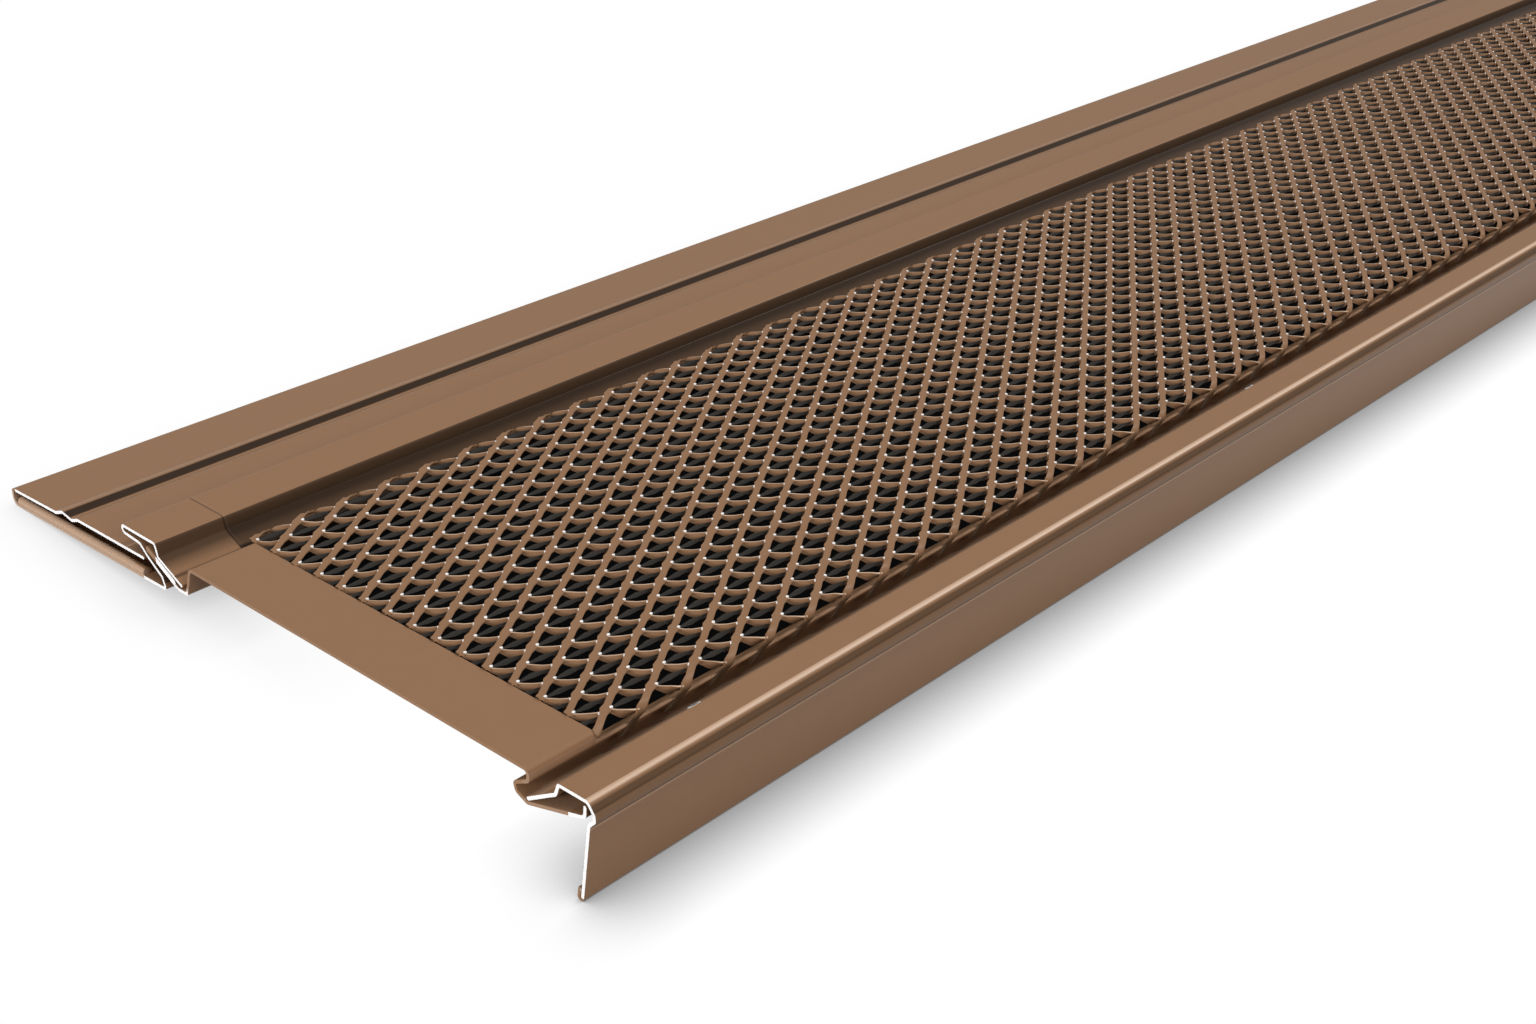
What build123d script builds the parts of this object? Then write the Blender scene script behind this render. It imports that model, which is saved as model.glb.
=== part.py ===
from build123d import *

import os
from math import asin, atan2, cos, hypot, sin

# Gutter guard, 3 ft of stock: a rear flange, a panel with an expanded mesh, and a front rail.
#
# Frame: +X along the length, +Y from the front flange to the house side, +Z up, millimetres.
# The guard lies unheld on a level floor, on the front flange's hem and the rear flange's hem,
# and the origin is on the floor below the middle of its box.
# Sections are drawn with y counted from the front face and z from the front flange's lower edge,
# and their values give the middle of the sheet.

# Stock
LENGTH = 914.4            # 3 ft, as this stock is sold
SHEET = 0.6               # painted steel sheet
WIDTH = 165.0             # front face of the bead to the back of the rear flange
SMALL_BEND = 0.6          # tight bends, at the middle of the sheet

# Front rail: lip, cap, bead and flange
FLANGE_LEAN = 2.55        # how far the flange's foot stands behind its top
FLANGE_TOP = 14.4         # height of the crease below the bead
CREASE_IN = 1.25          # depth of the crease behind the bead's front
CREASE_BEND = 0.5
FOOT_HEM = 2.2            # height of the hem's free leaf
HEM_RADIUS = 0.36         # middle radius of the flange's closed hem
HEM_SLACK = 0.05          # play in the hem's fold
CAP_TOP = 18.4
CAP_DEPTH = 6.0           # flat of the cap, front to back
CAP_INSET = 1.2           # front corner of the cap, behind the bead's front
CAP_BEND = 0.5            # bend at the back of the cap
BEAD_OUT = 0.3            # the bead's front
BEAD_RADIUS = 1.0
BEAD_BOTTOM = 1.3         # straight front of the bead, above the crease
BEAD_TOP = 2.3
STEP_BACK = 0.8           # lean of the step behind the cap
STEP_FOOT = 16.45         # foot of that step, where the lip starts
LIP_REACH = 14.5          # free edge of the lip, from the front face
LIP_HEIGHT = 12.8

# Panel sheet: hook at the back, channel and hook at the front
PANEL_TOP = 17.8
PANEL_BEND = 1.2
FRONT_WALL = 14.2         # wall at the front of the panel
WALL_FOOT = 15.9          # foot of that wall
CHANNEL_BEND = 0.8
CHANNEL_BACK = 17.4       # back of the front channel
CHANNEL_MOUTH = 14.3      # top of the channel's back
CHANNEL_HEEL = 12.9       # bottom of the channel's back
HEEL_IN = 0.3             # lean of the channel's back
HEEL_BEND = 0.7           # bend at the foot of the front wall
FLOOR_BACK = 14.8         # back of the channel's floor
CHANNEL_FLOOR = 11.9      # floor below the front lip
NOSE = (2.3, 15.4)        # front of the floor, behind the bead
NOSE_BEND = 1.0
NOSE_EDGE = (2.1, 17.2)   # free edge, below the cap
BACK_WALL = 101.5         # top of the wall at the back of the panel
WALL_SLOPE = 2.0          # lean of that wall
HOOK_FOOT = 12.35         # floor of the rear hook
HOOK_HEEL = 106.3         # back of that floor
HOOK_RUN_OUT = (107.6, 13.3)
HOOK_TIP = (114.8, 17.05)  # folded edge inside the rear rail

# Rear flange: two leaves, a groove and the rail that holds the hook
BACK_HEM_RADIUS = 1.2
LEAF_TIP = (117.0, 14.6)  # free edge of the top leaf, inside the rail
FLAT_BACK = 139.6         # back of the flat before the rail
FLAT_HEIGHT = 14.15       # flat between the groove and the rail
FLAT_BEND = 2.0
GROOVE_AT = 142.0
GROOVE_FLOOR = 13.3
GROOVE_BEND = 1.5
RIDGE_AT = 145.3
RIDGE_TOP = 13.9
RIDGE_BEND = 0.9
FLAT_FRONT = 147.8        # front of the rear flat, at the ridge's foot
LEAF_TOP_GROOVE = 12.95   # its height
LEAF_TOP_BACK = 12.3
LEAF_BEND = 1.0           # bends at the ridge's foot and the top of the back hem
LEAF_BOTTOM_BACK = 9.2
END_ROLL = 1.8            # rolled near end of the lower leaf, top to bottom
END_ROLL_FRONT = 118.0
LEAF_TURN = (110.7, 10.65)  # front of the lower leaf, where it turns up
RISER_TOP = (111.4, 12.9)
RAMP_TOP = (115.4, 15.6)  # back of the ramp that lies under the hook
RAIL_POCKET = 1.3         # middle of one rail leaf to the other
POCKET_FRONT = 117.2      # front of the rail's lower leaf
POCKET_DROP = 0.4         # how far that leaf falls towards its front
RAIL_BACK = 122.7
RAIL_FRONT = 112.1
RAIL_TOP = 19.1
RAIL_BEND = 1.5           # bend at the front of the rail's lower leaf
APRON_BEND = (111.6, 16.6)
APRON_EDGE = (105.1, 13.45)  # free edge in front of the rail, over the hook's floor

# Expanded mesh
MESH_LONG = 9.26          # diamond's pitch along the length
MESH_SHORT = 6.3          # diamond's pitch across the panel
MESH_COLUMNS = 96
MESH_ROWS = 13
MESH_NODES = 8
BROAD_STRAND = 1.9        # strands that run up towards the far end and the back
THIN_STRAND = 1.1         # strands that cross them
MESH_DEPTH = 1.2          # raised strands, top to bottom
MESH_MIDDLE = 57.8        # centre of the field, from the front face
FRONT_STUB = 16.1         # top of what stays of the panel's front wall below the mesh
BACK_STUB = 16.7          # top of what stays of its back wall

cap_back = BEAD_OUT + CAP_INSET + CAP_DEPTH

# The tilt that brings the two hems to the floor together
flange_y = BEAD_OUT + CREASE_IN + FLANGE_LEAN
hem_y = flange_y + 2 * HEM_RADIUS + HEM_SLACK
foot_y = flange_y + HEM_RADIUS
foot_z = SHEET / 2 + HEM_RADIUS
back_y = WIDTH - SHEET / 2 - BACK_HEM_RADIUS
back_z = LEAF_BOTTOM_BACK + BACK_HEM_RADIUS
reach = hypot(back_y - foot_y, back_z - foot_z)
tilt = atan2(back_z - foot_z, back_y - foot_y) - asin((BACK_HEM_RADIUS - HEM_RADIUS) / reach)
floor_drop = foot_z * cos(tilt) - foot_y * sin(tilt) - (HEM_RADIUS + SHEET / 2)

# Middle of the guard as it lies, between the bead's front and the back hem
bead_middle = FLANGE_TOP + (BEAD_BOTTOM + BEAD_TOP) / 2
back_middle = (LEAF_TOP_BACK + LEAF_BOTTOM_BACK) / 2
middle_y = (WIDTH * cos(tilt) + (bead_middle + back_middle) * sin(tilt)) / 2


def laid(y, z):
    """Where a point of the section lies once the guard is on the floor."""
    return (y * cos(tilt) + z * sin(tilt) - middle_y, z * cos(tilt) - y * sin(tilt) - floor_drop)


origin_y, origin_z = laid(0, 0)
across = (0, cos(tilt), -sin(tilt))
section = Plane(origin=(-LENGTH / 2, origin_y, origin_z), x_dir=across, z_dir=(1, 0, 0))
mesh_y, mesh_z = laid(MESH_MIDDLE, PANEL_TOP + SHEET / 2)
mesh_plane = Plane(origin=(0, mesh_y, mesh_z), x_dir=(1, 0, 0), z_dir=(0, sin(tilt), cos(tilt)))

os.makedirs("parts", exist_ok=True)

# The lower leaf falls towards the back hem, and its rolled end lies along it
leaf_back = WIDTH - SHEET / 2
leaf_run = leaf_back - LEAF_TURN[0]
leaf_drop = LEAF_TURN[1] - LEAF_BOTTOM_BACK
roll_slope = tilt + atan2(leaf_drop, leaf_run)
roll_back = WIDTH - SHEET - BACK_HEM_RADIUS
roll_y, roll_z = laid(roll_back, LEAF_BOTTOM_BACK + leaf_drop * (leaf_back - roll_back) / leaf_run)
roll_plane = Plane(origin=(-LENGTH / 2, roll_y, roll_z), x_dir=(1, 0, 0),
                   z_dir=(0, -cos(roll_slope), sin(roll_slope)))

# Rear flange, from the free tip of its top leaf round the back hem to the rail's front apron
with BuildPart() as rear_flange:
    with BuildSketch(section):
        with BuildLine():
            FilletPolyline(
                LEAF_TIP,
                (FLAT_BACK, FLAT_HEIGHT),
                (GROOVE_AT, GROOVE_FLOOR),
                (RIDGE_AT, RIDGE_TOP),
                (FLAT_FRONT, LEAF_TOP_GROOVE),
                (leaf_back, LEAF_TOP_BACK),
                (leaf_back, LEAF_BOTTOM_BACK),
                LEAF_TURN,
                RISER_TOP,
                RAMP_TOP,
                (POCKET_FRONT, RAIL_TOP - RAIL_POCKET - POCKET_DROP),
                (RAIL_BACK, RAIL_TOP - RAIL_POCKET),
                (RAIL_BACK, RAIL_TOP),
                (RAIL_FRONT, RAIL_TOP),
                APRON_BEND,
                APRON_EDGE,
                radius=[FLAT_BEND, GROOVE_BEND, RIDGE_BEND, LEAF_BEND, LEAF_BEND, BACK_HEM_RADIUS,
                        SMALL_BEND, SMALL_BEND, SMALL_BEND, RAIL_BEND, SMALL_BEND, SMALL_BEND,
                        SMALL_BEND, SMALL_BEND],
            )
            offset(amount=SHEET / 2)
        make_face()
    extrude(amount=LENGTH)
    with BuildSketch(roll_plane):
        with Locations((END_ROLL / 2, (END_ROLL - SHEET) / 2)):
            Circle(END_ROLL / 2)
    extrude(amount=roll_back - END_ROLL_FRONT)
rear_flange.part.label = "rear_flange"
export_step(rear_flange.part, "parts/rear_flange.step")

# Front rail, from the lip's free edge over the cap and the bead to the flange's hem
with BuildPart() as front_rail:
    with BuildSketch(section):
        with BuildLine():
            FilletPolyline(
                (LIP_REACH, LIP_HEIGHT),
                (cap_back + STEP_BACK, STEP_FOOT),
                (cap_back, CAP_TOP),
                (BEAD_OUT + CAP_INSET, CAP_TOP),
                (BEAD_OUT, FLANGE_TOP + BEAD_TOP),
                (BEAD_OUT, FLANGE_TOP + BEAD_BOTTOM),
                (BEAD_OUT + CREASE_IN, FLANGE_TOP),
                (flange_y, SHEET / 2),
                (hem_y, SHEET / 2),
                (hem_y - FLANGE_LEAN * FOOT_HEM / FLANGE_TOP, FOOT_HEM),
                radius=[SMALL_BEND, CAP_BEND, BEAD_RADIUS, CREASE_BEND, CREASE_BEND, CREASE_BEND,
                        HEM_RADIUS, HEM_RADIUS],
            )
            offset(amount=SHEET / 2)
        make_face()
    extrude(amount=LENGTH)
front_rail.part.label = "front_rail"
export_step(front_rail.part, "parts/front_rail.step")

# Panel sheet: the hook in the rear rail, the flat that carries the mesh, and the front channel
hook_slope = atan2(HOOK_TIP[1] - HOOK_RUN_OUT[1], HOOK_TIP[0] - HOOK_RUN_OUT[0])
lower_leaf = (HOOK_RUN_OUT[0] + SHEET / 2 * sin(hook_slope),
              HOOK_RUN_OUT[1] - SHEET / 2 * cos(hook_slope))
field_length = MESH_COLUMNS * MESH_LONG
field_width = MESH_ROWS * MESH_SHORT
front_cut = (FRONT_WALL - SHEET, MESH_MIDDLE, FRONT_STUB)
back_cut = (MESH_MIDDLE, BACK_WALL + WALL_SLOPE + SHEET, BACK_STUB)

with BuildPart() as panel_sheet:
    with BuildSketch(section):
        with BuildLine():
            FilletPolyline(
                lower_leaf,
                (HOOK_HEEL, HOOK_FOOT),
                (BACK_WALL + WALL_SLOPE, HOOK_FOOT),
                (BACK_WALL, PANEL_TOP),
                (FRONT_WALL, PANEL_TOP),
                (FRONT_WALL, WALL_FOOT),
                (CHANNEL_BACK, CHANNEL_MOUTH),
                (CHANNEL_BACK - HEEL_IN, CHANNEL_HEEL),
                (FLOOR_BACK, CHANNEL_FLOOR),
                NOSE,
                NOSE_EDGE,
                radius=[CHANNEL_BEND, CHANNEL_BEND, PANEL_BEND, CHANNEL_BEND, HEEL_BEND, SMALL_BEND,
                        CHANNEL_BEND, SMALL_BEND, NOSE_BEND],
            )
            offset(amount=SHEET / 2)
        make_face()
    extrude(amount=LENGTH)
    with BuildSketch(section):
        with BuildLine():
            Line(HOOK_TIP, HOOK_RUN_OUT)
            offset(amount=SHEET)
        make_face()
    extrude(amount=LENGTH)
    for cut_front, cut_back, stub in (front_cut, back_cut):
        with BuildSketch(mesh_plane.offset(SHEET)):
            with Locations((0, (cut_front + cut_back) / 2 - MESH_MIDDLE)):
                Rectangle(field_length, cut_back - cut_front)
        extrude(amount=stub - PANEL_TOP - SHEET / 2 - SHEET, mode=Mode.SUBTRACT)
panel_sheet.part.label = "panel_sheet"
export_step(panel_sheet.part, "parts/panel_sheet.step")

# One diamond of the mesh: the gap between two broad and two thin strands
slant = atan2(MESH_SHORT, MESH_LONG)
strand_gap = MESH_LONG / 2 * sin(slant)
half_broad = strand_gap - BROAD_STRAND / 2
half_thin = strand_gap - THIN_STRAND / 2


def corner(broad_side, thin_side):
    """A corner of the diamond, where the edge of a broad strand meets that of a thin one."""
    a = broad_side * half_broad
    b = thin_side * half_thin
    return ((b - a) / (2 * sin(slant)), (a + b) / (2 * cos(slant)))


diamond = [corner(1, 1), corner(1, -1), corner(-1, -1), corner(-1, 1)]

# Strands that carry the mesh on over the front wall and the back one, one for each column
columns_each = MESH_COLUMNS // MESH_NODES
tile_length = columns_each * MESH_LONG
front_bonds = MESH_MIDDLE - field_width / 2
back_bonds = MESH_MIDDLE + field_width / 2
front_foot = FRONT_STUB + SHEET / 2
back_foot = BACK_STUB + SHEET / 2
wall_lean = WALL_SLOPE / (PANEL_TOP - HOOK_FOOT)
front_strand = [
    (front_bonds + BROAD_STRAND / 2, PANEL_TOP),
    (FRONT_WALL + PANEL_BEND, PANEL_TOP),
    (FRONT_WALL, PANEL_TOP - PANEL_BEND),
    (FRONT_WALL, front_foot),
]
back_strand = [
    (back_bonds - BROAD_STRAND / 2, PANEL_TOP),
    (BACK_WALL - PANEL_BEND / 2, PANEL_TOP),
    (BACK_WALL + wall_lean * (PANEL_TOP - back_foot), back_foot),
]
strand_planes = []
for column in range(columns_each):
    along = LENGTH / 2 - field_length / 2 + (column + 0.5) * MESH_LONG - BROAD_STRAND / 2
    strand_planes.append(section.offset(along))

with BuildPart() as mesh_tile:
    with BuildSketch(mesh_plane):
        with Locations((tile_length / 2 - field_length / 2, 0)):
            Rectangle(tile_length, field_width)
            with GridLocations(MESH_LONG, MESH_SHORT, columns_each, MESH_ROWS):
                Polygon(*diamond, align=None, mode=Mode.SUBTRACT)
            with GridLocations(MESH_LONG, MESH_SHORT, columns_each + 1, MESH_ROWS + 1):
                Polygon(*diamond, align=None, mode=Mode.SUBTRACT)
    extrude(amount=-MESH_DEPTH)
    for profile in (front_strand, back_strand):
        with BuildSketch(*strand_planes):
            with BuildLine():
                Polyline(*profile)
                offset(amount=SHEET / 2)
            make_face()
        extrude(amount=BROAD_STRAND)

for number in range(MESH_NODES):
    with BuildPart() as mesh:
        with Locations((number * tile_length, 0, 0)):
            add(mesh_tile.part)
    mesh.part.label = f"mesh_{number + 1}"
    export_step(mesh.part, f"parts/mesh_{number + 1}.step", write_pcurves=False)
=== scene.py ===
# %% [markdown]
# # A gutter guard in painted steel
# A gutter guard is a long strip of brown painted steel that lies over a gutter and keeps leaves out.
# Its working part is a field of raised expanded mesh: one sheet that was slit in rows and pulled open.
# The sheets round it are bent in long straight lines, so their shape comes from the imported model.
# This lesson gives the bent sheets their paint and their bare cut ends, and models the mesh as it is.

import bpy
from math import atan2, cos, hypot, pi, radians, sin
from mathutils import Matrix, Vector


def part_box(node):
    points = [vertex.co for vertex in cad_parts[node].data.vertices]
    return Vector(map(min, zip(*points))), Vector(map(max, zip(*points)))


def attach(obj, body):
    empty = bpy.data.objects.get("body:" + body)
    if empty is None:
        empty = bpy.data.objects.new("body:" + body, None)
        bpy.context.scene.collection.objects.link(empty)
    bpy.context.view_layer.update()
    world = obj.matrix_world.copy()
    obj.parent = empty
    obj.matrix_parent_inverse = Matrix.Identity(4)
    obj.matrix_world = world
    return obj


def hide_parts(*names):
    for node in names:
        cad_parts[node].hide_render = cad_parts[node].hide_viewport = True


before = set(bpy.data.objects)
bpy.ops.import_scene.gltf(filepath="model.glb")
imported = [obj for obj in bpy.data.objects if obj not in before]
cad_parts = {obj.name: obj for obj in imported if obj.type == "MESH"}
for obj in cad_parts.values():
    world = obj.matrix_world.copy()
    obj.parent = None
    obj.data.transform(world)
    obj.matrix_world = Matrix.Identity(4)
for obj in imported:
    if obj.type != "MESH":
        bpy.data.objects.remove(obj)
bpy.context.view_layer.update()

# %% [markdown]
# ## How the guard lies
# The guard lies on the floor on its two long hems, so its flat parts fall a little towards the house
# side. Its section is easier to think about upright, as it was drawn: back from the bead's front and up
# from the front flange's foot, in millimetres. One function turns such a point into its place round the
# origin, which is on the floor below the middle of the guard. Places typed straight in world
# coordinates would work too, but they would hide what they mean.

# %% Lay the upright section on the floor
MM = 0.001
FALL = radians(3.2025)
MIDDLE_BACK = 83.124
FLOOR_DROP = -0.2502


def laid(back, up):
    """Where a point of the sheets' upright drawing, in millimetres, lies on the floor, in metres."""
    return ((back * cos(FALL) + up * sin(FALL) - MIDDLE_BACK) * MM,
            (up * cos(FALL) - back * sin(FALL) - FLOOR_DROP) * MM)


def in_mm(length):
    """A length in metres as rounded millimetres, for printing."""
    return round(length / MM, 2)


# %% Measure the mesh field
PITCH_LONG = 9.26 * MM
PITCH_SHORT = 6.3 * MM
COLUMNS = 96
FIELD_BACK = 57.8
SHEET_TOP = 18.1
MESH_NODES = [f"mesh_{number}" for number in range(1, 9)]

field_middle = (0, *laid(FIELD_BACK, SHEET_TOP))
field_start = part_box(MESH_NODES[0])[0][0]
field_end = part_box(MESH_NODES[-1])[1][0]
print("the mesh runs along X from", in_mm(field_start), "to", in_mm(field_end))

# %% [markdown]
# ## Camera
# The photograph looks down along the guard from its near end. Its long edges run together towards two
# vanishing points, which give the lens and the three angles. Fitting by eye would also get close, but
# small faults of the lens show at once on a part this long.

# %% Place the camera
CAMERA_PLACE = (-0.59692, -0.24015, 0.18368)
CAMERA_TILT = 60.582
CAMERA_ROLL = -1.461
CAMERA_TURN = -46.748
CAMERA_LENS = 45.43
SENSOR_WIDTH = 36
NEAREST_SEEN = 0.01
FARTHEST_SEEN = 20

camera_data = bpy.data.cameras.new("camera")
camera_data.lens = CAMERA_LENS
camera_data.sensor_width = SENSOR_WIDTH
camera_data.clip_start = NEAREST_SEEN
camera_data.clip_end = FARTHEST_SEEN
camera = bpy.data.objects.new("camera", camera_data)
bpy.context.scene.collection.objects.link(camera)
camera.location = CAMERA_PLACE
camera.rotation_euler = (radians(CAMERA_TILT), radians(CAMERA_ROLL), radians(CAMERA_TURN))
bpy.context.scene.camera = camera
print("camera at", CAMERA_PLACE, "lens", CAMERA_LENS)

# %% [markdown]
# ## Paint grain
# Sprayed paint is never quite even: its tone drifts slowly over the sheet and speckles finely. Two noise
# textures in Object coordinates give both. Image textures could do it too, but the sheets would have to
# be unwrapped first, and noise fits any shape. All the guard's finishes use it, so it is a node group.

# %% Helpers for shader nodes


def node(tree, kind, **values):
    """Adds a node and sets its inputs by name or its own settings."""
    made = tree.nodes.new(kind)
    for name, value in values.items():
        if name in made.inputs:
            made.inputs[name].default_value = value
        else:
            setattr(made, name, value)
    return made


def math_node(tree, operation, first, second=None, third=None, clamp=False):
    """One step of arithmetic, whose inputs are numbers or other nodes' outputs."""
    made = tree.nodes.new("ShaderNodeMath")
    made.operation = operation
    made.use_clamp = clamp
    for socket, value in zip(made.inputs, (first, second, third)):
        if isinstance(value, bpy.types.NodeSocket):
            tree.links.new(value, socket)
        elif value is not None:
            socket.default_value = value
    return made.outputs[0]


def new_group(name, inputs, outputs):
    """A shader node group with float or colour inputs and outputs."""
    group = bpy.data.node_groups.new(name, "ShaderNodeTree")
    for label, kind, value in inputs:
        socket = group.interface.new_socket(label, in_out="INPUT", socket_type=kind)
        socket.default_value = value
    for label, kind in outputs:
        group.interface.new_socket(label, in_out="OUTPUT", socket_type=kind)
    return group, group.nodes.new("NodeGroupInput"), group.nodes.new("NodeGroupOutput")


# %% Build the paint grain
PAINT = (0.283, 0.155, 0.082, 1)
CLOUD_SIZE = 9
CLOUD_DETAIL = 2
GRAIN_SIZE = 260
GRAIN_DETAIL = 3
ROUGHNESS_SWING = 0.8


def build_paint_grain():
    """Colour that drifts slowly and speckles finely, roughness that follows, and a height for bumps."""
    group, inside, outside = new_group(
        "paint grain",
        [("Paint", "NodeSocketColor", PAINT), ("Strength", "NodeSocketFloat", 0.06),
         ("Roughness", "NodeSocketFloat", 0.4)],
        [("Color", "NodeSocketColor"), ("Roughness", "NodeSocketFloat"), ("Height", "NodeSocketFloat")])
    place = group.nodes.new("ShaderNodeTexCoord")
    cloud = node(group, "ShaderNodeTexNoise", Scale=CLOUD_SIZE, Detail=CLOUD_DETAIL)
    grain = node(group, "ShaderNodeTexNoise", Scale=GRAIN_SIZE, Detail=GRAIN_DETAIL)
    group.links.new(place.outputs["Object"], cloud.inputs["Vector"])
    group.links.new(place.outputs["Object"], grain.inputs["Vector"])
    total = math_node(group, "ADD", cloud.outputs["Fac"], grain.outputs["Fac"])
    swing = math_node(group, "MULTIPLY", math_node(group, "SUBTRACT", total, 1.0), inside.outputs["Strength"])
    tint = node(group, "ShaderNodeHueSaturation")
    group.links.new(inside.outputs["Paint"], tint.inputs["Color"])
    group.links.new(math_node(group, "ADD", swing, 1.0), tint.inputs["Value"])
    group.links.new(tint.outputs["Color"], outside.inputs["Color"])
    rough_swing = math_node(group, "MULTIPLY", swing, ROUGHNESS_SWING)
    rough = math_node(group, "ADD", inside.outputs["Roughness"], rough_swing)
    group.links.new(rough, outside.inputs["Roughness"])
    group.links.new(grain.outputs["Fac"], outside.inputs["Height"])
    return group


paint_grain = build_paint_grain()
print("built node group", paint_grain.name)

# %% [markdown]
# ## Place on the section
# A bent sheet is alike all along, so where its painted shade and highlights lie depends on the place on
# its section. This group turns a point's Object coordinates back into the upright drawing. Vertex colours
# could mark the creases as well, but the imported sheets have too few points for a soft edge.

# %% Build the place on the section


def build_section_place():
    """Millimetres along the guard, back from the bead and up from the flange's foot."""
    group, inside, outside = new_group(
        "section place", [],
        [("Along", "NodeSocketFloat"), ("Back", "NodeSocketFloat"), ("Up", "NodeSocketFloat")])
    place = group.nodes.new("ShaderNodeTexCoord")
    parts = group.nodes.new("ShaderNodeSeparateXYZ")
    group.links.new(place.outputs["Object"], parts.inputs[0])
    along = math_node(group, "MULTIPLY", parts.outputs["X"], 1 / MM)
    across = math_node(group, "MULTIPLY_ADD", parts.outputs["Y"], 1 / MM, MIDDLE_BACK)
    height = math_node(group, "MULTIPLY_ADD", parts.outputs["Z"], 1 / MM, FLOOR_DROP)
    back = math_node(group, "SUBTRACT", math_node(group, "MULTIPLY", across, cos(FALL)),
                     math_node(group, "MULTIPLY", height, sin(FALL)))
    up = math_node(group, "ADD", math_node(group, "MULTIPLY", across, sin(FALL)),
                   math_node(group, "MULTIPLY", height, cos(FALL)))
    for value, name in ((along, "Along"), (back, "Back"), (up, "Up")):
        group.links.new(value, outside.inputs[name])
    return group


section_place = build_section_place()
print("built node group", section_place.name)

# %% [markdown]
# ## Bare cut ends
# The saw went through the sheets after they were painted, so the steel is bare where a face looks
# straight along the guard. This group finds such faces by their normal. Choosing the faces one by one
# would give the same picture, but it would have to be done again after each change of the sheets.

# %% Build the cut-end mask
END_FACING = 0.95


def build_cut_end():
    """One where a face looks straight along the guard, and zero elsewhere or where it is painted."""
    group, inside, outside = new_group("cut end", [("Painted", "NodeSocketFloat", 0.0)],
                                       [("Mask", "NodeSocketFloat")])
    place = group.nodes.new("ShaderNodeTexCoord")
    parts = group.nodes.new("ShaderNodeSeparateXYZ")
    group.links.new(place.outputs["Normal"], parts.inputs[0])
    along = math_node(group, "ABSOLUTE", parts.outputs["X"])
    facing = math_node(group, "GREATER_THAN", along, END_FACING)
    mask = math_node(group, "SUBTRACT", facing, inside.outputs["Painted"], clamp=True)
    group.links.new(mask, outside.inputs["Mask"])
    return group


cut_end = build_cut_end()
print("built node group", cut_end.name)

# %% [markdown]
# ## Painted shade and highlights along the folds
# A narrow bend catches the light as a pale line, and a crease lies in shade as a dark one. A stripe with
# soft edges paints this into the colour: it darkens the colour as painted shade, or adds a pale painted
# highlight. Light alone gives some of this, but the bends here are only a millimetre wide, and the stripe
# keeps them clear.

# %% Build the stripe of painted shade and highlight
# The pale colour that a painted highlight adds.
PAINTED_HIGHLIGHT = (0.36, 0.3, 0.245)


def build_shade_and_highlight_stripe():
    """In a soft stripe, a tone below one paints shade and a tone above one paints a pale highlight."""
    group, inside, outside = new_group(
        "painted shade and highlight",
        [("Color", "NodeSocketColor", PAINT), ("Place", "NodeSocketFloat", 0.0),
         ("Centre", "NodeSocketFloat", 0.0), ("Half Width", "NodeSocketFloat", 0.5),
         ("Softness", "NodeSocketFloat", 0.3), ("Tone", "NodeSocketFloat", 1.0),
         ("Where", "NodeSocketFloat", 1.0)],
        [("Color", "NodeSocketColor")])
    off_centre = math_node(group, "SUBTRACT", inside.outputs["Place"], inside.outputs["Centre"])
    away = math_node(group, "ABSOLUTE", off_centre)
    beyond = math_node(group, "SUBTRACT", away, inside.outputs["Half Width"])
    share = math_node(group, "DIVIDE", beyond, inside.outputs["Softness"], clamp=True)
    mask = math_node(group, "MULTIPLY", math_node(group, "SUBTRACT", 1.0, share), inside.outputs["Where"])
    step = math_node(group, "SUBTRACT", inside.outputs["Tone"], 1.0)
    change = math_node(group, "MULTIPLY", mask, step)
    kept = math_node(group, "ADD", math_node(group, "MINIMUM", change, 0.0), 1.0)
    darker = node(group, "ShaderNodeVectorMath", operation="SCALE")
    group.links.new(inside.outputs["Color"], darker.inputs[0])
    group.links.new(kept, darker.inputs["Scale"])
    paler = node(group, "ShaderNodeVectorMath", operation="SCALE")
    paler.inputs[0].default_value = PAINTED_HIGHLIGHT
    group.links.new(math_node(group, "MAXIMUM", change, 0.0), paler.inputs["Scale"])
    total = node(group, "ShaderNodeVectorMath", operation="ADD")
    group.links.new(darker.outputs[0], total.inputs[0])
    group.links.new(paler.outputs[0], total.inputs[1])
    group.links.new(total.outputs[0], outside.inputs["Color"])
    return group


shade_and_highlight_stripe = build_shade_and_highlight_stripe()
print("built node group", shade_and_highlight_stripe.name)

# %% [markdown]
# ## Painted steel
# The coil was painted flat and bent afterwards. The paint is a satin brown that hardly mirrors the room,
# so its reflection is turned down rather than made rougher: a rough shine would veil the brown in grey.
# Each sheet has its own stripes of painted shade and highlight and its own painted ends, and one function
# makes the three materials.

# %% Helpers for the painted sheets
BARE_STEEL = (0.95, 0.94, 0.93, 1)
PAINT_GLOSS = 0.14
BUMP_STRENGTH = 0.08
BUMP_HEIGHT = 0.2 * MM
MIX_FIRST, MIX_SECOND, MIX_RESULT = 6, 7, 2


def group_node(tree, group, **values):
    """Places a node group and sets its inputs; a name's underscores stand for spaces."""
    made = tree.nodes.new("ShaderNodeGroup")
    made.node_tree = group
    for name, value in values.items():
        socket = made.inputs[name.replace("_", " ")]
        if isinstance(value, bpy.types.NodeSocket):
            tree.links.new(value, socket)
        else:
            socket.default_value = value
    return made


def add_painted_light_and_shade(tree, colour, place, light_and_shade_stripes):
    """The colour after all the stripes of painted shade and highlight: axis, start, end, softness, tone, and
    a test of where.
    """
    for axis, start, end, softness, tone, test in light_and_shade_stripes:
        stripe = group_node(tree, shade_and_highlight_stripe, Color=colour, Place=place.outputs[axis],
                            Centre=(start + end) / 2, Half_Width=abs(end - start) / 2,
                            Softness=softness, Tone=tone, Where=test(tree, place))
        colour = stripe.outputs["Color"]
    return colour


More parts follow.
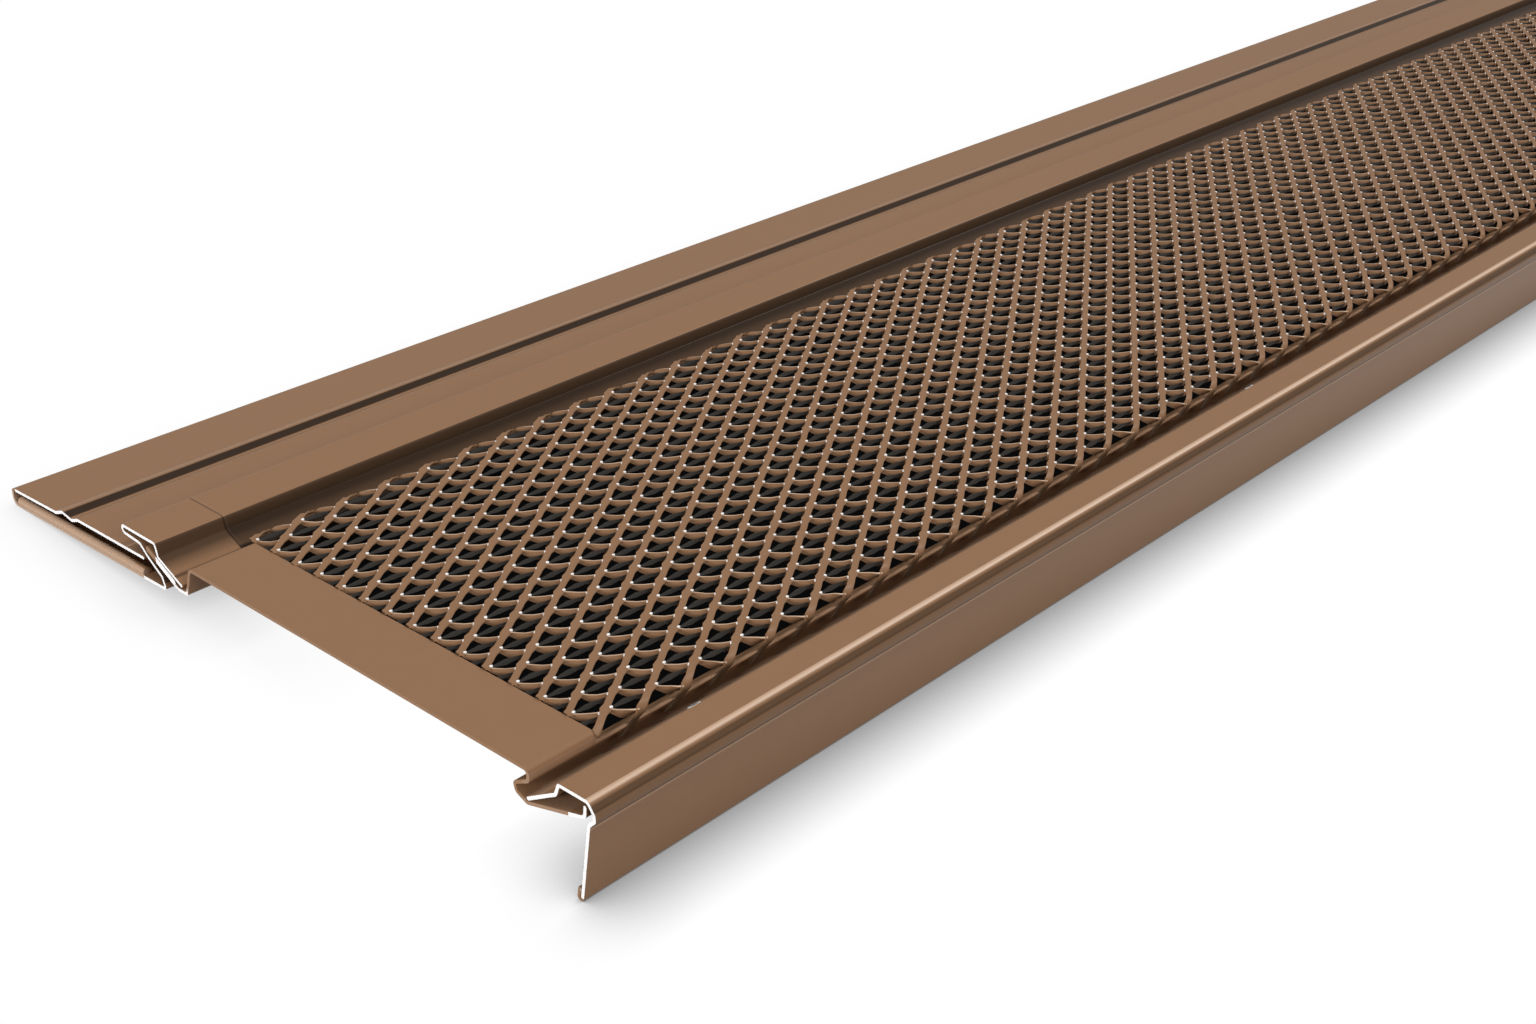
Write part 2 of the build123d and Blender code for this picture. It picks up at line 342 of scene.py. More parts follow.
def painted_material(name, roughness, painted_ends, light_and_shade_stripes):
    """Painted sheet with bare steel at its sawn ends, and stripes of painted shade and highlight along its
    folds.
    """
    material = bpy.data.materials.new(name)
    material.use_nodes = True
    tree = material.node_tree
    shader = tree.nodes["Principled BSDF"]
    shader.inputs["Specular IOR Level"].default_value = PAINT_GLOSS
    place = group_node(tree, section_place)
    grain = group_node(tree, paint_grain, Paint=PAINT, Roughness=roughness)
    ends = group_node(tree, cut_end, Painted=painted_ends(tree, place))
    blend = node(tree, "ShaderNodeMix", data_type="RGBA")
    tree.links.new(ends.outputs["Mask"], blend.inputs["Factor"])
    tree.links.new(add_painted_light_and_shade(tree, grain.outputs["Color"], place, light_and_shade_stripes), blend.inputs[MIX_FIRST])
    blend.inputs[MIX_SECOND].default_value = BARE_STEEL
    tree.links.new(blend.outputs[MIX_RESULT], shader.inputs["Base Color"])
    tree.links.new(grain.outputs["Roughness"], shader.inputs["Roughness"])
    bump = node(tree, "ShaderNodeBump", Strength=BUMP_STRENGTH, Distance=BUMP_HEIGHT)
    tree.links.new(grain.outputs["Height"], bump.inputs["Height"])
    tree.links.new(bump.outputs["Normal"], shader.inputs["Normal"])
    return material


def dress(node_name, material):
    """Gives a CAD node its finish."""
    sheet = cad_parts[node_name]
    sheet.data.materials.clear()
    sheet.data.materials.append(material)
    print("painted", node_name, "with", material.name)


# %% Tests of where a point lies


def above(tree, place, axis, limit):
    """One where the place on an axis is greater than the limit."""
    return math_node(tree, "GREATER_THAN", place.outputs[axis], limit)


def below(tree, place, axis, limit):
    """One where the place on an axis is less than the limit."""
    return math_node(tree, "LESS_THAN", place.outputs[axis], limit)


def both(tree, first, second):
    """One where two masks are one."""
    return math_node(tree, "MULTIPLY", first, second)


def either(tree, first, second):
    """One where any of two masks is one."""
    return math_node(tree, "MAXIMUM", first, second)


# %% [markdown]
# ## Rear flange
# The rear flange has a groove along its top leaf and a hollow rail with an apron at its front, which
# lies in shade. Near the end a thin line runs across the rail, as where one sheet laps over another. All
# these lie along straight lines, so they are painted as stripes: shade in the groove and on the apron,
# highlights along the ridge, the rail's back bend and the rolled end, and at the lap a dark joint line
# with a painted highlight beside it. Modelled creases would need a finer sheet for less effect.

# %% Paint the rear flange
ROLL_FRONT = 118
BETWEEN_LEAVES = 11.8
RAIL_TOP = 19.15
HEM_START = 163.4
LAP_AT = -443.8
LAP_FRONT = 107
LAP_BACK = 123.5
REAR_ROUGHNESS = 0.38


def on_top_leaf(tree, place):
    """The top leaf and the rail, without the lower leaf."""
    return above(tree, place, "Up", BETWEEN_LEAVES)


def on_apron(tree, place):
    """The apron in front of the rail."""
    return both(tree, below(tree, place, "Up", RAIL_TOP), on_top_leaf(tree, place))


def across_rail(tree, place):
    """From the apron's foot to the back of the rail."""
    return both(tree, above(tree, place, "Back", LAP_FRONT), below(tree, place, "Back", LAP_BACK))


def beyond_lap(tree, place):
    """The apron past the lap line."""
    return both(tree, on_apron(tree, place), above(tree, place, "Along", LAP_AT))


def on_roll(tree, place):
    """The rolled near end of the lower leaf."""
    return both(tree, above(tree, place, "Back", ROLL_FRONT), below(tree, place, "Up", BETWEEN_LEAVES))


def rear_painted_ends(tree, place):
    """The rolled end of the lower leaf and the back hem were painted after they were bent."""
    return either(tree, on_roll(tree, place), above(tree, place, "Back", HEM_START))


# Painted shade in the groove and on the apron, painted highlights on the ridge and the rail's back bend.
REAR_SHADE_AND_HIGHLIGHTS = (
    ("Back", 142.7, 144.6, 0.35, 0.12, on_top_leaf),
    ("Back", 145.5, 147.6, 0.5, 1.12, on_top_leaf),
    ("Back", 122.6, 122.9, 0.15, 1.35, on_top_leaf),
    ("Back", 110.2, 113.0, 2.6, 0.3, on_apron),
    ("Back", 106.6, 106.9, 0.3, 0.45, on_apron),
    ("Back", 107.6, 111.2, 0.6, 0.4, beyond_lap),
    ("Back", 101.0, 107.4, 0.4, 0.12, beyond_lap),
    # A painted highlight along the rolled end.
    ("Along", -457.3, -456.4, 0.6, 1.5, on_roll),
    # The lap's dark joint line, and a painted highlight beside it.
    ("Along", LAP_AT - 0.1, LAP_AT + 0.1, 0.15, 0.55, across_rail),
    ("Along", LAP_AT + 0.35, LAP_AT + 0.5, 0.15, 1.04, across_rail),
)

rear_paint = painted_material("painted_rear_flange", REAR_ROUGHNESS, rear_painted_ends, REAR_SHADE_AND_HIGHLIGHTS)
dress("rear_flange", rear_paint)

# %% [markdown]
# ## Front rail
# The front rail ends in a crest, a bead with a crease under it, and the flange. The crest's highlight is
# the brightest line of the whole guard. It is a narrow stripe of painted highlight, and the shade below
# the crest and in the crease is painted as dark stripes. A strong lamp could draw the highlight too, but
# only from one side.

# %% Paint the front rail
FRONT_FACE = 2.6
CREST_BACK = 2.0
LIP_FROM = 9.5
HEM_TOP = 2.7
FREE_LEAF_AT = 4.28
FOOT_RING_TOP = 0.6
FRONT_ROUGHNESS = 0.34


def on_front_face(tree, place):
    """The bead and the flange, without the cap and the lip behind them."""
    return below(tree, place, "Back", FRONT_FACE)


def on_crest(tree, place):
    """The bend between the cap and the bead."""
    return below(tree, place, "Back", CREST_BACK)


def on_lip(tree, place):
    """The lip behind the cap."""
    return above(tree, place, "Back", LIP_FROM)


def front_painted_ends(tree, place):
    """The flange's foot and the free leaf of its hem are painted over."""
    free_leaf = both(tree, below(tree, place, "Up", HEM_TOP), above(tree, place, "Back", FREE_LEAF_AT))
    return either(tree, free_leaf, below(tree, place, "Up", FOOT_RING_TOP))


# A painted highlight on the crest, painted light on the lip, painted shade on the bead and in the crease, and
# a painted highlight just below the crease.
FRONT_SHADE_AND_HIGHLIGHTS = (
    ("Up", 18.5, 18.6, 0.22, 2.0, on_crest),
    ("Back", 12.0, 15.0, 1.0, 1.3, on_lip),
    ("Up", 17.2, 17.9, 0.3, 0.42, on_front_face),
    ("Up", 15.4, 17.2, 0.2, 0.7, on_front_face),
    ("Up", 14.2, 14.9, 0.2, 0.35, on_front_face),
    ("Up", 13.75, 13.9, 0.2, 1.3, on_front_face),
)

front_paint = painted_material("painted_front_rail", FRONT_ROUGHNESS, front_painted_ends, FRONT_SHADE_AND_HIGHLIGHTS)
dress("front_rail", front_paint)

# %% [markdown]
# ## Panel sheet
# The panel's sheet is plain at both ends and frames the mesh. Behind the mesh it runs under the rear
# rail, where hardly any light comes, so it has a stripe that is nearly black between the end bands. A
# lamp can't be kept out of one strip, and a painted stripe can.

# %% Paint the panel sheet
NOSE_BACK = 5.8
BARE_FROM = 103.3
BARE_TO = 112.5
WALL_TOP = 17.3
FIELD_HALF = 444.4
PANEL_ROUGHNESS = 0.4


def panel_painted_ends(tree, place):
    """Only the double hook in the rear rail and the nose under the cap were sawn after painting."""
    middle = both(tree, above(tree, place, "Back", NOSE_BACK), below(tree, place, "Back", BARE_FROM))
    return either(tree, middle, above(tree, place, "Back", BARE_TO))


def below_panel(tree, place):
    """The walls and channels below the panel's top."""
    return below(tree, place, "Up", WALL_TOP)


def behind_mesh(tree, place):
    """The strip between the mesh and the rear rail, without the two end bands."""
    return both(tree, above(tree, place, "Along", -FIELD_HALF), below(tree, place, "Along", FIELD_HALF))


# Painted shade, nearly black, behind the mesh, and painted light that lifts the channels below the panel's
# top out of their shade.
PANEL_SHADE_AND_LIGHT = (
    ("Back", 101.0, 108.5, 0.3, 0.08, behind_mesh),
    ("Back", 6.0, 15.2, 0.7, 1.15, below_panel),
)

panel_paint = painted_material("painted_panel", PANEL_ROUGHNESS, panel_painted_ends, PANEL_SHADE_AND_LIGHT)
dress("panel_sheet", panel_paint)

# %% [markdown]
# ## Raised expanded mesh
# The mesh is one sheet, slit in staggered rows and pulled open. Pulling leaves two kinds of strand
# between the bonds. Bands lie flat and run straight across the field, one behind the other. Rungs hang
# between two bands: their top edge curves from bond to bond, and their face hangs down from it. Below
# each opening the slit's other lip crosses as a narrow leaf, and the slit ends in tiny bare burrs.
# A picture of holes on a flat sheet would look flat from the side, so one cell is modelled point by point,
# and arrays make the field from it.

# %% Helpers for modelling in edit mode


def deselect_objects():
    """Leaves nothing selected or active, so that an operator touches only what is chosen next."""
    bpy.ops.object.select_all(action="DESELECT")
    bpy.context.view_layer.objects.active = None


def choose(*pieces):
    """Selects these objects alone, with the first one active."""
    deselect_objects()
    for piece in pieces:
        piece.select_set(True)
    bpy.context.view_layer.objects.active = pieces[0]


def pick_points(piece, test):
    """In edit mode, selects the points that pass the test."""
    bpy.ops.object.mode_set(mode="OBJECT")
    mesh = piece.data
    for item in (*mesh.polygons, *mesh.edges):
        item.select = False
    for point in mesh.vertices:
        point.select = bool(test(point))
    bpy.ops.object.mode_set(mode="EDIT")
    bpy.ops.mesh.select_mode(type="VERT")


def move_point(piece, index, place):
    """In edit mode, moves one point of a piece to a place."""
    pick_points(piece, lambda point: point.index == index)
    start = piece.data.vertices[index].co
    bpy.ops.transform.translate(value=[there - here for there, here in zip(place, start)])


# %% Helpers for whole objects


def add_modifier(piece, kind, **settings):
    """Adds a modifier, sets it and applies it."""
    choose(piece)
    modifier = piece.modifiers.new(kind.lower(), kind)
    for name, value in settings.items():
        setattr(modifier, name, value)
    bpy.ops.object.modifier_apply(modifier=modifier.name)


def repeat(piece, count, step):
    """Repeats a piece with an array, each time one step further."""
    add_modifier(piece, "ARRAY", count=count, use_relative_offset=False,
                 use_constant_offset=True, constant_offset_displace=step)


def copy_of(piece, name, offset):
    """A copy with its own mesh, moved by an offset that goes into the mesh."""
    twin = piece.copy()
    twin.data = piece.data.copy()
    twin.name = name
    bpy.context.scene.collection.objects.link(twin)
    choose(twin)
    twin.location = offset
    bpy.ops.object.transform_apply(location=True)
    return twin


def join(*pieces):
    """Joins the pieces into the first one."""
    choose(*pieces)
    bpy.ops.object.join()
    return pieces[0]


def discard(*pieces):
    """Deletes what was only needed on the way."""
    for piece in pieces:
        bpy.data.objects.remove(piece)


# %% [markdown]
# ## Finishes of the mesh
# The strands are painted like the sheets. Their cut edges that face up take a pale painted highlight, the
# burrs are bare steel, and the leaves below the openings see little light, so they are painted nearly
# black as shade. All that lies deeper than the sheet's top takes a painted shade, because light bounces
# out of a real mesh less than out of this thinner copy.

# %% Make the finishes of the mesh
# A pale colour that stands for a highlight on the cut edges that face up.
EDGE_HIGHLIGHT_PAINT = (0.6, 0.42, 0.29, 1)
SHADED_PAINT = (0.05, 0.047, 0.043, 1)
SHADE_CENTRE = 14.6
SHADE_HALF = 2.2
SHADE_SOFTNESS = 0.9


def mesh_material(name, colour, roughness, shade=1.0):
    """One grainy colour, with a painted shade for all that lies below the top of the sheet."""
    material = bpy.data.materials.new(name)
    material.use_nodes = True
    tree = material.node_tree
    shader = tree.nodes["Principled BSDF"]
    shader.inputs["Specular IOR Level"].default_value = PAINT_GLOSS
    grain = group_node(tree, paint_grain, Paint=colour, Roughness=roughness)
    place = group_node(tree, section_place)
    deep = group_node(tree, shade_and_highlight_stripe, Color=grain.outputs["Color"], Place=place.outputs["Up"],
                      Centre=SHADE_CENTRE, Half_Width=SHADE_HALF, Softness=SHADE_SOFTNESS, Tone=shade)
    tree.links.new(deep.outputs["Color"], shader.inputs["Base Color"])
    tree.links.new(grain.outputs["Roughness"], shader.inputs["Roughness"])
    return material


MESH_FINISHES = (
    mesh_material("mesh_paint", PAINT, roughness=0.42, shade=0.2),
    mesh_material("painted_edge_highlight", EDGE_HIGHLIGHT_PAINT, roughness=0.35, shade=0.4),
    mesh_material("bare_burr", BARE_STEEL, roughness=0.3),
    mesh_material("shaded_leaf", SHADED_PAINT, roughness=0.25),
)
FACE, EDGE, BURR, LEAF = range(len(MESH_FINISHES))


def take_finishes(piece, index):
    """Gives a piece the four finishes, with all its faces in one of them."""
    for material in MESH_FINISHES:
        piece.data.materials.append(material)
    for face in piece.data.polygons:
        face.material_index = index


print("made", [material.name for material in MESH_FINISHES])

# %% [markdown]
# ## One cell of the mesh
# A cell is one band segment, one rung, one leaf and two burrs. Each starts as a small grid or ball whose
# points are moved in edit mode. A subdivided and bevelled cell would look rounder, but it is repeated
# more than two thousand times, so each piece keeps only the faces that its outline needs.

# %% Model a band segment
BAND_WIDTH = 1.05 * MM
BOND_WIDTH = 1.7 * MM
BAND_BEVEL = 0.22 * MM
BEVEL_DROP = 0.12 * MM
BAND_STEPS = 4
NEAR_EDGE = 0.49

half_long = PITCH_LONG / 2
half_short = PITCH_SHORT / 2
segment = hypot(half_long, half_short)
slope = atan2(PITCH_SHORT, PITCH_LONG)


def model_band():
    """A flat strip, broad at both bonds, with a soft front edge, to the next bond."""
    deselect_objects()
    bpy.ops.mesh.primitive_grid_add(x_subdivisions=BAND_STEPS, y_subdivisions=2, size=1)
    band = bpy.context.active_object
    band.name = "band"
    bpy.ops.object.mode_set(mode="EDIT")
    bpy.ops.transform.resize(value=(segment, BAND_WIDTH, 1))
    pick_points(band, lambda point: abs(point.co.y) < BAND_WIDTH / 4)
    bpy.ops.transform.translate(value=(0, BAND_BEVEL - BAND_WIDTH / 2, 0))
    pick_points(band, lambda point: point.co.y < -BAND_WIDTH * NEAR_EDGE)
    bpy.ops.transform.translate(value=(0, 0, -BEVEL_DROP))
    pick_points(band, lambda point: abs(point.co.x) > segment * NEAR_EDGE)
    bpy.ops.transform.resize(value=(1, BOND_WIDTH / BAND_WIDTH, 1), center_override=(0, 0, 0))
    bpy.ops.mesh.select_all(action="SELECT")
    bpy.ops.transform.translate(value=(segment / 2, 0, 0))
    bpy.ops.transform.rotate(value=-slope, orient_axis="Z", center_override=(0, 0, 0))
    bpy.ops.object.mode_set(mode="OBJECT")
    take_finishes(band, FACE)
    return band


band = model_band()
print("one band segment is", in_mm(segment), "millimetres long")

# %% Model a rung
RUNG_STEPS = 4
RUNG_DEPTH = 1.55 * MM
RUNG_LEAN = radians(22)
RUNG_SAG = 0.12 * MM
RUNG_START = 0.5 * MM
RUNG_CURVE = 1.5
END_SHARE = 0.4
MIDDLE_LEAN = 0.3
MIDDLE_DEPTH = 0.5
LOOSE_GRID = 3


def rung_place(share):
    """Where the top edge is, a share of the way from its back bond to its front bond."""
    along = RUNG_START + share * (half_long - 2 * RUNG_START)
    across = -half_short * (1 - (1 - share) ** RUNG_CURVE)
    return along, across, -RUNG_SAG * sin(pi * share)


def model_rung():
    """A strip that hangs from its curved top edge."""
    deselect_objects()
    bpy.ops.mesh.primitive_grid_add(x_subdivisions=RUNG_STEPS, y_subdivisions=2, size=LOOSE_GRID)
    rung = bpy.context.active_object
    rung.name = "rung"
    bpy.ops.object.mode_set(mode="EDIT")
    for step in range(RUNG_STEPS + 1):
        share = step / RUNG_STEPS
        along, across, height = rung_place(share)
        depth = RUNG_DEPTH * (END_SHARE + (1 - END_SHARE) * sin(pi * share))
        lean = depth * sin(RUNG_LEAN)
        profile = ((-lean, -depth * cos(RUNG_LEAN)), (-MIDDLE_LEAN * lean, -MIDDLE_DEPTH * depth), (0, 0))
        for row, (back, up) in enumerate(profile):
            move_point(rung, row * (RUNG_STEPS + 1) + step, (along, across + back, height + up))
    bpy.ops.object.mode_set(mode="OBJECT")
    take_finishes(rung, FACE)
    return rung


rung = model_rung()
print("one rung has", len(rung.data.polygons), "faces")

# %% Model a leaf below the opening
LEAF_STEPS = 2
LEAF_START = (1.3 * MM, 0.2 * MM, -0.25 * MM)
LEAF_MIDDLE = (4.4 * MM, 0.75 * MM, -0.4 * MM)
LEAF_END = (7.6 * MM, 0.25 * MM, -0.7 * MM)
LEAF_TIP = 0.2 * MM
LEAF_WIDTH = 0.75 * MM


def model_leaf():
    """The slit's other lip, a narrow leaf that crosses the opening below the top of the sheet."""
    deselect_objects()
    bpy.ops.mesh.primitive_grid_add(x_subdivisions=LEAF_STEPS, y_subdivisions=1, size=LOOSE_GRID)
    leaf = bpy.context.active_object
    leaf.name = "leaf"
    bpy.ops.object.mode_set(mode="EDIT")
    spine = ((LEAF_START, LEAF_TIP), (LEAF_MIDDLE, LEAF_WIDTH), (LEAF_END, LEAF_TIP))
    for step, ((along, across, height), width) in enumerate(spine):
        move_point(leaf, step, (along, across - width / 2, height - width))
        move_point(leaf, LEAF_STEPS + 1 + step, (along, across, height))
    bpy.ops.object.mode_set(mode="OBJECT")
    take_finishes(leaf, LEAF)
    return leaf


leaf = model_leaf()
print("one leaf has", len(leaf.data.polygons), "faces")

# %% Model the burrs at the ends of a slit
BURR_SIZE = 0.26 * MM
BURR_SEGMENTS = 5
BURR_RINGS = 3
LEFT_BURR = (1.05 * MM, -0.08 * MM, 0.0)
LEFT_STRETCH = (1.9, 1.2, 0.9)
RIGHT_BURR = (PITCH_LONG - 1.15 * MM, 0.05 * MM, -0.2 * MM)
RIGHT_STRETCH = (1, 1, 1)


def model_burr(name, place, stretch):
    """A small round burr of bare steel."""
    deselect_objects()
    bpy.ops.mesh.primitive_uv_sphere_add(segments=BURR_SEGMENTS, ring_count=BURR_RINGS, radius=BURR_SIZE)
    burr = bpy.context.active_object
    burr.name = name
    bpy.ops.object.mode_set(mode="EDIT")
    bpy.ops.transform.resize(value=stretch)
    bpy.ops.transform.translate(value=place)
    bpy.ops.object.mode_set(mode="OBJECT")
    take_finishes(burr, BURR)
    return burr


left_burr = model_burr("left_burr", LEFT_BURR, LEFT_STRETCH)
right_burr = model_burr("right_burr", RIGHT_BURR, RIGHT_STRETCH)
burrs = join(left_burr, right_burr)
print("two burrs have", len(burrs.data.polygons), "faces")

# %% [markdown]
# ## From one cell to the field
# Odd rows stand half a pitch along from even ones, as the slits of a real expanded sheet do. So a column
# is two arrays, one for each kind of row, and an array of columns fills one node's share of the field.
# Weld closes the bonds, and Solidify then gives all the strands the sheet's thickness at once.

# %% Build one column of the mesh
MIDDLE_ROW = 12
BAND_ROWS = (-3, 26)
RUNG_ROWS = (-1, 27)
SLIT_ROWS = (-1, 26)


def build_column(cell, name, rows, odd_shift):
    """One cell for each row from the first to the last, with every odd row shifted along."""
    halves = []
    for first in (rows[0], rows[0] + 1):
        across = (first - MIDDLE_ROW) * half_short
        half = copy_of(cell, name, (odd_shift * (first % 2), across, 0))
        repeat(half, (rows[1] - first) // 2 + 1, (0, PITCH_SHORT, 0))
        halves.append(half)
    return join(*halves)


strands = join(build_column(band, "bands", BAND_ROWS, half_long),
               build_column(rung, "rungs", RUNG_ROWS, half_long),
               build_column(leaf, "leaves", SLIT_ROWS, -half_long))
points = build_column(burrs, "points", SLIT_ROWS, -half_long)
print("one column has", len(strands.data.polygons) + len(points.data.polygons), "faces")
discard(band, rung, leaf, burrs)

# %% Repeat the column and give the sheet its thickness
COLUMNS_EACH = COLUMNS // len(MESH_NODES)
SHEET_THICK = 0.35 * MM
WELD_REACH = 0.02 * MM
TOP_FACING = 0.25


def build_block():
    """Strands with the sheet's thickness, a painted highlight on cut edges that face up, and burrs."""
    for column in (strands, points):
        repeat(column, COLUMNS_EACH, (PITCH_LONG, 0, 0))
    add_modifier(strands, "WELD", merge_threshold=WELD_REACH)
    add_modifier(strands, "SOLIDIFY", thickness=SHEET_THICK, offset=0, use_even_offset=False,
                 material_offset_rim=EDGE)
    # Cut edges that face up keep the pale finish as a painted highlight; the others take the face paint.
    for face in strands.data.polygons:
        if face.material_index == EDGE and face.normal.z < TOP_FACING:
            face.material_index = FACE
    return join(strands, points)


block = build_block()
print("one block has", len(block.data.polygons), "faces")

# %% [markdown]
# ## Folding the mesh over its edges
# The sheet was bent after it was slit, so the strands turn down with it: at the front they reach into
# the channel behind the rail, and at the back their ends dip in front of the rear rail. The block is cut
# to width first. Then all that lies beyond a line is turned about that line, a few lines one by one. A
# bend modifier would do it in one step, but these few lines stay exactly where the sheet's bends are.

# %% Fold the front and the back
FRONT_CUT = -46.7 * MM
BACK_CUT = 47.2 * MM
FRONT_FOLDS = (-44.6 * MM, -43.8 * MM, -43.0 * MM)
BACK_FOLDS = (46.6 * MM, 45.8 * MM)
FRONT_TURN = radians(29)
BACK_TURN = radians(32)


def trim(piece, place, normal):
    """Cuts off what lies on the side that the normal points to."""
    choose(piece)
    bpy.ops.object.mode_set(mode="EDIT")
    bpy.ops.mesh.select_all(action="SELECT")
    bpy.ops.mesh.bisect(plane_co=place, plane_no=normal, clear_outer=True, use_fill=False)
    bpy.ops.object.mode_set(mode="OBJECT")


def fold(piece, line, turn):
    """Turns all that lies beyond a line along the guard about that line."""
    choose(piece)
    side = 1 if line > 0 else -1
    pick_points(piece, lambda point: side * point.co.y > side * line)
    bpy.ops.transform.rotate(value=side * turn, orient_axis="X", center_override=(0, line, 0))
    bpy.ops.object.mode_set(mode="OBJECT")


trim(block, (0, FRONT_CUT, 0), (0, -1, 0))
trim(block, (0, BACK_CUT, 0), (0, 1, 0))
for line in FRONT_FOLDS:
    fold(block, line, FRONT_TURN)
for line in BACK_FOLDS:
    fold(block, line, BACK_TURN)
heights = [point.co.z for point in block.data.vertices]
print("folded block reaches from", in_mm(min(heights)), "to", in_mm(max(heights)))

# %% [markdown]
# ## Small dents
# Stretched strands are never all alike. A soft cloud pattern pushes them about by a tenth or two of a
# millimetre, a different way in each place, so that no two openings are quite the same. Moving points
# at random would do it too, but it would tear the strands' smooth lines.

# %% Lay the blocks on the panel
DENT_SIZE = 7 * MM
DENT_DEPTH = 0.5 * MM
DENT_LAYERS = 1
ABOVE_SHEET = 0.12 * MM
SMOOTH_ANGLE = radians(40)

dents = bpy.data.textures.new("dents", "CLOUDS")
dents.noise_scale = DENT_SIZE
dents.noise_depth = DENT_LAYERS


def dent(piece):
    """Pushes a piece's points about, along each axis in turn."""
    for direction in ("X", "Y", "Z"):
        add_modifier(piece, "DISPLACE", texture=dents, texture_coords="GLOBAL", direction=direction,
                     strength=DENT_DEPTH, mid_level=0.5)


def lay(piece):
    """Turns a piece that was modelled flat onto the panel."""
    choose(piece)
    piece.rotation_euler = (-FALL, 0, 0)
    piece.location = field_middle
    bpy.ops.object.transform_apply(location=True, rotation=True)


for number, name in enumerate(MESH_NODES):
    start = field_start + number * COLUMNS_EACH * PITCH_LONG
    piece = copy_of(block, f"raised_{name}", (start, 0, ABOVE_SHEET))
    if name == MESH_NODES[0]:
        trim(piece, (field_start, 0, 0), (-1, 0, 0))
    if name == MESH_NODES[-1]:
        trim(piece, (field_end, 0, 0), (1, 0, 0))
    dent(piece)
    lay(piece)
    bpy.ops.object.shade_smooth_by_angle(angle=SMOOTH_ANGLE)
    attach(piece, "root")
    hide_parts(name)
    print("laid", piece.name, "with", len(piece.data.polygons), "faces")

discard(block)

# %% [markdown]
# ## Oval slits
# Two small oval slits are pressed through the lip beside the cap. Their rims were cut after painting, so
# each is a thin ring of bare steel round a floor painted nearly black as the shade inside the slit, turned
# to the lip's slope. Cutting them into the sheet would be truer, but the imported sheets stay as they
# are, and the slits are only 2.4 mm long.

# %% Press the oval slits
SLIT_PLACES = (-425.9 * MM, -266.0 * MM)
SLIT_RADIUS = 1.0 * MM
SLIT_RIM = 0.13 * MM
SLIT_STRETCH = (1.2, 0.55, 0.6)
SLIT_STEPS = 24
RIM_STEPS = 6
SLIT_BACK = 12.5
SLIT_UP = 14.36
LIP_SLOPE = radians(30.5)


def press_slit(name, along):
    """A ring of bare steel with a floor painted dark as shade, laid on the lip."""
    deselect_objects()
    bpy.ops.mesh.primitive_torus_add(major_segments=SLIT_STEPS, minor_segments=RIM_STEPS,
                                     major_radius=SLIT_RADIUS, minor_radius=SLIT_RIM)
    rim = bpy.context.active_object
    take_finishes(rim, BURR)
    # The floor takes the nearly black leaf finish, a painted shade inside the slit.
    bpy.ops.mesh.primitive_cylinder_add(vertices=SLIT_STEPS, radius=SLIT_RADIUS, depth=SLIT_RIM)
    inside = bpy.context.active_object
    take_finishes(inside, LEAF)
    slit = join(rim, inside)
    slit.name = name
    slit.scale = SLIT_STRETCH
    slit.rotation_euler = (-LIP_SLOPE - FALL, 0, 0)
    slit.location = (along, *laid(SLIT_BACK, SLIT_UP))
    bpy.ops.object.transform_apply(location=True, rotation=True, scale=True)
    bpy.ops.object.shade_smooth_by_angle(angle=SMOOTH_ANGLE)
    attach(slit, "root")
    return slit


for number, along in enumerate(SLIT_PLACES, 1):
    slit = press_slit(f"oval_slit_{number}", along)
    print("pressed", slit.name, "at", in_mm(along))

# %% [markdown]
# ## Floor
# The guard lies on a pale floor. The camera sees the floor as pure white, darkened only where the guard
# stands close above it, which ambient occlusion measures. Under the mesh the real floor gets next to no
# light, so a soft-edged rectangle there is nearly black. All other rays meet a plain grey floor, which
# throws the right amount of light back up. A shadow catcher would need a transparent picture instead.

# %% Mix the floor's finish
FLOOR_COLOUR = (0.35, 0.35, 0.35, 1)
FLOOR_ROUGHNESS = 0.9
OPENNESS_SAMPLES = 16
SHADE_REACH = 0.014
SHADE_ACROSS = (-0.075, -0.03)
SHADE_POWERS = (1.25, 0.3)
COVER_ALONG = (-0.4415, 0.434)
COVER_ACROSS = (-0.074, 0.068)
COVER_SOFTNESS = 0.005
COVER_SHADE = 0.997


def seen_by(tree, *rays):
    """One for rays of these kinds, and zero for all others."""
    path = tree.nodes.new("ShaderNodeLightPath")
    seen = path.outputs[rays[0]]
    for ray in rays[1:]:
        seen = math_node(tree, "ADD", seen, path.outputs[ray], clamp=True)
    return seen


def contact_shade(tree, parts):
    """How open the floor is, with a stronger shade in front of the guard than behind it."""
    openness = node(tree, "ShaderNodeAmbientOcclusion", samples=OPENNESS_SAMPLES, Distance=SHADE_REACH)
    power = node(tree, "ShaderNodeMapRange")
    tree.links.new(parts.outputs["Y"], power.inputs["Value"])
    for label, value in zip(("From Min", "From Max", "To Min", "To Max"), (*SHADE_ACROSS, *SHADE_POWERS)):
        power.inputs[label].default_value = value
    return math_node(tree, "POWER", openness.outputs["AO"], power.outputs["Result"])


def uncovered(tree, parts):
    """Nearly zero under the mesh and one outside, with soft edges."""
    covered = COVER_SHADE
    for axis, low, high in (("X", *COVER_ALONG), ("Y", *COVER_ACROSS)):
        for edge, sign in ((low, 1), (high, -1)):
            past_edge = math_node(tree, "SUBTRACT", parts.outputs[axis], edge)
            inwards = math_node(tree, "MULTIPLY", past_edge, sign)
            share = math_node(tree, "DIVIDE", inwards, COVER_SOFTNESS, clamp=True)
            covered = math_node(tree, "MULTIPLY", covered, share)
    return math_node(tree, "SUBTRACT", 1.0, covered)


